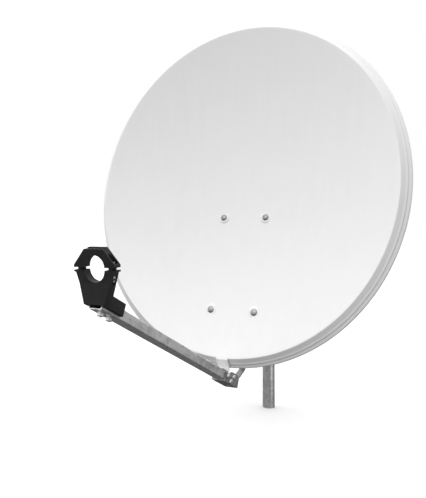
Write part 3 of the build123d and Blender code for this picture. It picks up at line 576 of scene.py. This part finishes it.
def reflector_skin(dish):
    """The pressed sheet's middle surface: the face as rings, then the stepped rim."""
    mesh = bmesh.new()
    grid = []
    for ring in range(1, RINGS + 1):
        share = (ring / RINGS) ** RING_SPREAD * (1 - INSET * MM / HALF_WIDTH)
        row = []
        for step in range(AROUND):
            angle = math.tau * step / AROUND
            x = HALF_WIDTH * share * math.cos(angle)
            z = HALF_HEIGHT * share * math.sin(angle)
            row.append(mesh.verts.new(dish.point(x, dish.depth(x, z) + SHEET / 2, z)))
        grid.append(row)
    rows = []
    for step in range(AROUND):
        angle = math.tau * step / AROUND
        edge = Vector((HALF_WIDTH * math.cos(angle), HALF_HEIGHT * math.sin(angle)))
        out = Vector((edge.x / HALF_WIDTH**2, edge.y / HALF_HEIGHT**2)).normalized()
        inner = edge - out * (INSET - 1) * MM
        start = (-(INSET - 1), (dish.depth(*inner) + SHEET / 2) / MM)
        bends = (FOLD_BEND,) + (RIM_BEND,) * (len(RIM_LINE) - 2)
        line = rounded((start,) + RIM_LINE, bends)
        place = [edge + out * point.x * MM for point in line]
        rows.append([
            mesh.verts.new(dish.point(at.x, point.y * MM, at.y))
            for at, point in zip(place, line)
        ])
    grid.extend(list(ring) for ring in zip(*rows))
    middle = mesh.verts.new(dish.point(0, dish.depth(0, 0) + SHEET / 2, 0))
    for step in range(AROUND):
        after = (step + 1) % AROUND
        mesh.faces.new((middle, grid[0][after], grid[0][step]))
        for inner, outer in zip(grid, grid[1:]):
            mesh.faces.new((inner[step], inner[after], outer[after], outer[step]))
    bmesh.ops.recalc_face_normals(mesh, faces=mesh.faces)
    piece = placed(mesh, "reflector_detail")
    skin = piece.modifiers.new("sheet", "SOLIDIFY")
    skin.thickness = SHEET * SKIN_SHARE
    skin.offset = 0
    settle(piece, angle=SHEET_ANGLE)
    return piece


def pressed_pad(dish, mesh, centre, normal, front):
    """A flat pad that blends into the face round one bolt, on one side of the sheet."""
    side = Vector((1, 0, 0))
    up = normal.cross(side).normalized()
    rings = [PAD_RADIUS * share for share in (0.38, 0.7, 1.0)]
    rings += [PAD_RADIUS + PAD_BLEND * share for share in (0.1, 0.25, 0.45, 0.65, 0.85, 1.0)]
    rows = []
    for ring in rings:
        row = []
        for step in range(PAD_STEPS):
            angle = math.tau * step / PAD_STEPS
            flat = centre + (side * math.cos(angle) + up * math.sin(angle)) * ring
            local = flat - dish.centre
            x, y, z = local.x, local.dot(dish.rear), local.dot(dish.up)
            skin = dish.depth(x, z) + (0 if front else SHEET)
            rest = y + (-PAD_PROUD if front else PAD_PROUD)
            ease = min(1.0, max(0.0, (ring - PAD_RADIUS) / PAD_BLEND))
            ease = ease * ease * (3 - 2 * ease)
            sunk = skin + (PAD_SINK if front else -PAD_SINK) * ease
            row.append(mesh.verts.new(dish.point(x, rest + (sunk - rest) * ease, z)))
        rows.append(row)
    for inner, outer in zip(rows, rows[1:]):
        for step in range(PAD_STEPS):
            after = (step + 1) % PAD_STEPS
            mesh.faces.new((inner[step], inner[after], outer[after], outer[step]))
    return rows


def reflector_with_pads():
    """The painted reflector: its pressed sheet, and a pad round each bolt on both sides."""
    dish = DishFace()
    piece = reflector_skin(dish)
    mesh = bmesh.new()
    for centre, axis, _ in nut_axes("reflector_nuts"):
        forward = axis if axis.y < 0 else -axis
        local = centre - dish.centre
        x, z = local.x, local.dot(dish.up)
        slope = forward.dot(dish.up) / forward.dot(dish.rear)
        for _ in range(SEAT_ROUNDS):
            gap = dish.depth(x, z) - local.dot(dish.rear)
            z = local.dot(dish.up) + gap * slope
        seat = dish.point(x, dish.depth(x, z), z)
        front = pressed_pad(dish, mesh, seat, forward, front=True)
        back = pressed_pad(dish, mesh, seat + dish.rear * SHEET, forward, front=False)
        for step in range(len(front[0])):
            after = (step + 1) % len(front[0])
            for near, far in ((front[0], back[0]), (front[-1], back[-1])):
                mesh.faces.new((near[step], near[after], far[after], far[step]))
    bmesh.ops.recalc_face_normals(mesh, faces=mesh.faces)
    pads = placed(mesh, "reflector_pads")
    settle(pads, angle=SHEET_ANGLE)
    pads.data.materials.append(PAINT)
    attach(pads, BODY_OF["reflector"])
    finish_piece(piece, "reflector")


# ---------------------------------------------------------------- elevation scale
SLOT_RADIUS = 80 * MM
SCALE_GAP = 8.0 * MM    # from the slot's middle line to the marks
SCALE_STEPS = range(-6, 8)
SCALE_STEP = 2.5        # degrees from mark to mark
LONG_MARK, SHORT_MARK = 6.0 * MM, 3.6 * MM
MARK_THICKNESS, MARK_WIDTH = 0.3 * MM, 0.6 * MM
MARK_EDGE = 0.12 * MM
WASHER_STAND = 1.9 * MM    # from the cheek's face to the outer end of the washer box


def elevation_scale():
    """Plain tick marks that stand on both cheeks of the rear frame, beside the slot."""
    low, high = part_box("lock_bolts")
    lock = (low + high) / 2 - PIVOT
    lock_angle = math.atan2(lock.z, lock.y)
    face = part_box("elevation_washers")[1].x - WASHER_STAND
    mesh = bmesh.new()
    for side in (-1, 1):
        for step in SCALE_STEPS:
            angle = lock_angle + math.radians(step * SCALE_STEP)
            length = LONG_MARK if step % 2 == 0 else SHORT_MARK
            middle = SLOT_RADIUS + SCALE_GAP + length / 2
            place = PIVOT + Vector((side * face, math.cos(angle) * middle,
                                    math.sin(angle) * middle))
            turn = Matrix.Rotation(angle, 4, "X")
            size = Matrix.Diagonal((MARK_THICKNESS, length, MARK_WIDTH, 1))
            bmesh.ops.create_cube(mesh, size=1, matrix=Matrix.Translation(place) @ turn @ size)
    piece = placed(mesh, "elevation_scale")
    round_edges(piece, MARK_EDGE)
    piece.data.materials.append(DOME_ZINC)
    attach(piece, BODY_OF["rear_frame"])


# ---------------------------------------------------------------- camera, light and floor
GROUND_LIGHT = 0.16     # light from straight below, from level, and from overhead
LEVEL_LIGHT = 1.08
TOP_LIGHT = 1.60
SIDE_SHARE = 0.48       # share of it that comes from the +X side
BACKDROP_LIGHT = 1.0
FLOOR_REACH = 60.0
FOCAL_LENGTH = 44.36    # millimetres


def studio():
    """A wide flat pale floor. It takes shadows, but lights and reflects in nothing."""
    floor = bmesh.new()
    bmesh.ops.create_grid(floor, x_segments=4, y_segments=4, size=FLOOR_REACH)
    data = bpy.data.meshes.new("floor")
    floor.to_mesh(data)
    floor.free()
    piece = bpy.data.objects.new("floor", data)
    bpy.context.scene.collection.objects.link(piece)
    data.materials.append(studio_floor())
    piece.visible_diffuse = False
    piece.visible_glossy = False


def soft_surround():
    """White backdrop, whose light is strongest overhead and weak from below and one side."""
    world = bpy.data.worlds.new("studio")
    world.use_nodes = True
    tree = world.node_tree
    background = tree.nodes["Background"]
    source = tree.nodes.new("ShaderNodeTexCoord")
    axes = tree.nodes.new("ShaderNodeSeparateXYZ")
    tree.links.new(source.outputs["Generated"], axes.inputs["Vector"])
    low = smooth_range(tree, axes.outputs["Z"], -0.45, 0.10, GROUND_LIGHT, LEVEL_LIGHT)
    high = smooth_range(tree, axes.outputs["Z"], 0.0, 0.9, 0.0, TOP_LIGHT - LEVEL_LIGHT)
    side = smooth_range(tree, axes.outputs["X"], 0.35, 0.95, 1.0, SIDE_SHARE)
    given = combine(tree, "MULTIPLY", combine(tree, "ADD", low, high), side)
    path = tree.nodes.new("ShaderNodeLightPath")
    seen = tree.nodes.new("ShaderNodeMix")
    tree.links.new(path.outputs["Is Camera Ray"], seen.inputs["Factor"])
    tree.links.new(given, seen.inputs["A"])
    seen.inputs["B"].default_value = BACKDROP_LIGHT
    tree.links.new(seen.outputs["Result"], background.inputs["Strength"])
    background.inputs["Color"].default_value = (1, 1, 1, 1)
    bpy.context.scene.world = world


def area_light(name, place, target, size, power, spread=180):
    """A rectangular lamp aimed at a target, its beam's spread in degrees."""
    light = bpy.data.lights.new(name, "AREA")
    light.shape = "RECTANGLE"
    light.size = size[0]
    light.size_y = size[1]
    light.energy = power
    light.spread = math.radians(spread)
    lamp = bpy.data.objects.new(name, light)
    lamp.location = place
    lamp.rotation_euler = (Vector(target) - Vector(place)).to_track_quat("-Z", "Y").to_euler()
    bpy.context.scene.collection.objects.link(lamp)


def camera():
    """Nearly level camera in front, toward +X, a little below the middle of the face."""
    place = Vector((0.5997, -1.5346, 0.4760))
    ahead = Vector((-0.4768, 0.8789, 0.0129))
    view = bpy.data.cameras.new("camera")
    view.lens = FOCAL_LENGTH
    view.shift_x = 0.0430
    view.shift_y = -0.0597
    view.clip_start = 0.01
    view.clip_end = 200
    holder = bpy.data.objects.new("camera", view)
    holder.location = place
    holder.rotation_euler = ahead.to_track_quat("-Z", "Y").to_euler()
    bpy.context.scene.collection.objects.link(holder)
    bpy.context.scene.camera = holder


studio()
soft_surround()
camera()
area_light("key", (-0.8, -2.4, 3.4), (0, -0.2, 0.5), (2.4, 2.4), 12)
area_light("strip", (2.0, -0.30, 0.05), (0, 0, 0.08), (0.35, 0.4), 0.35, spread=24)
bpy.context.scene.view_settings.view_transform = "Standard"

for node, part in frame["nodes"].items():
    part.data.materials.clear()
    part.data.materials.append(SLOT_MATERIALS[SLOT_OF[node]])
    part.data.shade_smooth()
    part.data.set_sharp_from_angle(angle=math.radians(SMOOTH_ANGLE))
for node, edge in SOFT_EDGES.items():
    softened(node, edge * MM)
all_bolts()
reflector_with_pads()
elevation_scale()
